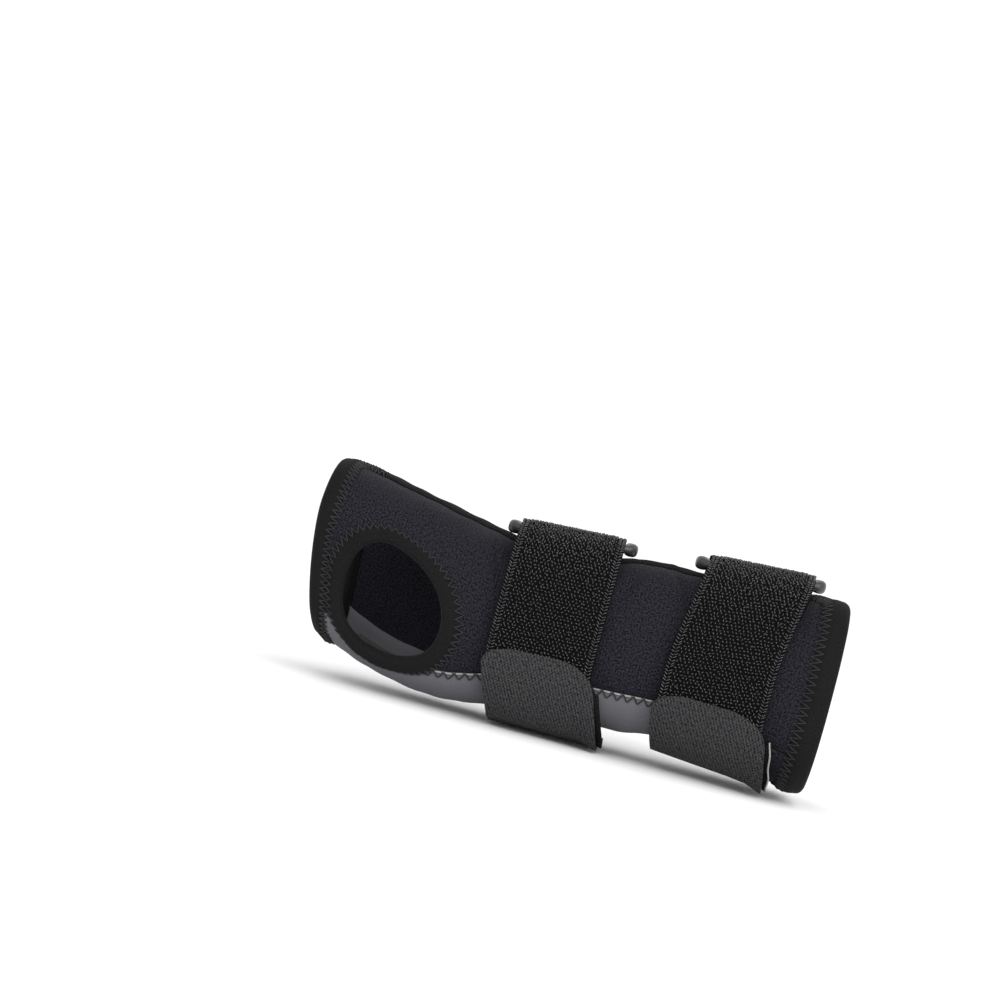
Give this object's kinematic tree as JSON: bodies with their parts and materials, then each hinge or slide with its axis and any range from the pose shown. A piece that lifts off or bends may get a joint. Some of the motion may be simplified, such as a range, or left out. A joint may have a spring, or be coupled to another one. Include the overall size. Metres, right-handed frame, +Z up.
{
  "type": "wrist splint",
  "caption": "Right-hand neoprene wrist splint with bound edges, thumb hole, grey palm panel over a bent palmar stay, and ring-and-hook straps that wrap round and fold back.",
  "frame": {"origin": "on the floor plane below the middle of the splint's bounding box, lying palm side down", "axes": "+X along the forearm towards the elbow, +Z up through the back of the hand, -Y towards the thumb side"},
  "size_m": [0.1898, 0.0854, 0.0807],
  "materials": {
    "neoprene_black": "fine knit facing, dark charcoal",
    "neoprene_grey": "smooth mid-grey facing",
    "binding_black": "soft black stretch tape",
    "pocket_lining": "thin black lining",
    "band_black": "loop pile",
    "hook_grey": "woven hook tape back, dark grey",
    "ring_plastic": "satin black",
    "stay_aluminium": "mill finish"
  },
  "bodies": {
    "sleeve": {"radial_panel": "neoprene_black", "ulnar_panel": "neoprene_black", "palmar_panel": "neoprene_grey", "rear_palm_panel": "neoprene_black", "front_binding": "binding_black", "rear_binding": "binding_black", "radial_edge_binding": "binding_black", "ulnar_edge_binding": "binding_black", "thumb_binding": "binding_black", "stay_pocket": "pocket_lining", "distal_strap": "band_black", "proximal_strap": "band_black", "distal_ring_tether": "band_black", "proximal_ring_tether": "band_black"},
    "stay": {"palmar_stay": "stay_aluminium"},
    "distal_ring_body": {"distal_ring": "ring_plastic", "distal_strap_fold": "band_black"},
    "distal_strap_end": {"distal_strap_return": "band_black", "distal_tab_outer": "hook_grey", "distal_tab_inner": "hook_grey"},
    "proximal_ring_body": {"proximal_ring": "ring_plastic", "proximal_strap_fold": "band_black"},
    "proximal_strap_end": {"proximal_strap_return": "band_black", "proximal_tab_outer": "hook_grey", "proximal_tab_inner": "hook_grey"}
  },
  "joints": [
    {"name": "stay_slide", "type": "slide", "parent": "sleeve", "child": "stay", "axis": [0.995, 0, 0.0995], "range_m": [0, 0.17], "deforming": ["stay_pocket"]},
    {"name": "distal_ring_swing", "type": "hinge", "parent": "sleeve", "child": "distal_ring_body", "pos_m": [-0.02566, 0.0059, 0.07023], "axis": [-0.9982, 0, -0.0595], "range_deg": [0, 28]},
    {"name": "distal_strap_release", "type": "hinge", "parent": "distal_ring_body", "child": "distal_strap_end", "pos_m": [-0.02566, -0.01111, 0.07363], "axis": [-0.9982, 0, -0.0595], "range_deg": [0, 110]},
    {"name": "proximal_ring_swing", "type": "hinge", "parent": "sleeve", "child": "proximal_ring_body", "pos_m": [0.04314, 0.0059, 0.07505], "axis": [-0.9982, 0, -0.0594], "range_deg": [0, 28]},
    {"name": "proximal_strap_release", "type": "hinge", "parent": "proximal_ring_body", "child": "proximal_strap_end", "pos_m": [0.04314, -0.01111, 0.07845], "axis": [-0.9982, 0, -0.0594], "range_deg": [0, 110]}
  ],
  "couplings": [
    {"joint": "distal_ring_swing", "follows": "distal_strap_release", "ratio": 0.25},
    {"joint": "proximal_ring_swing", "follows": "proximal_strap_release", "ratio": 0.25}
  ]
}
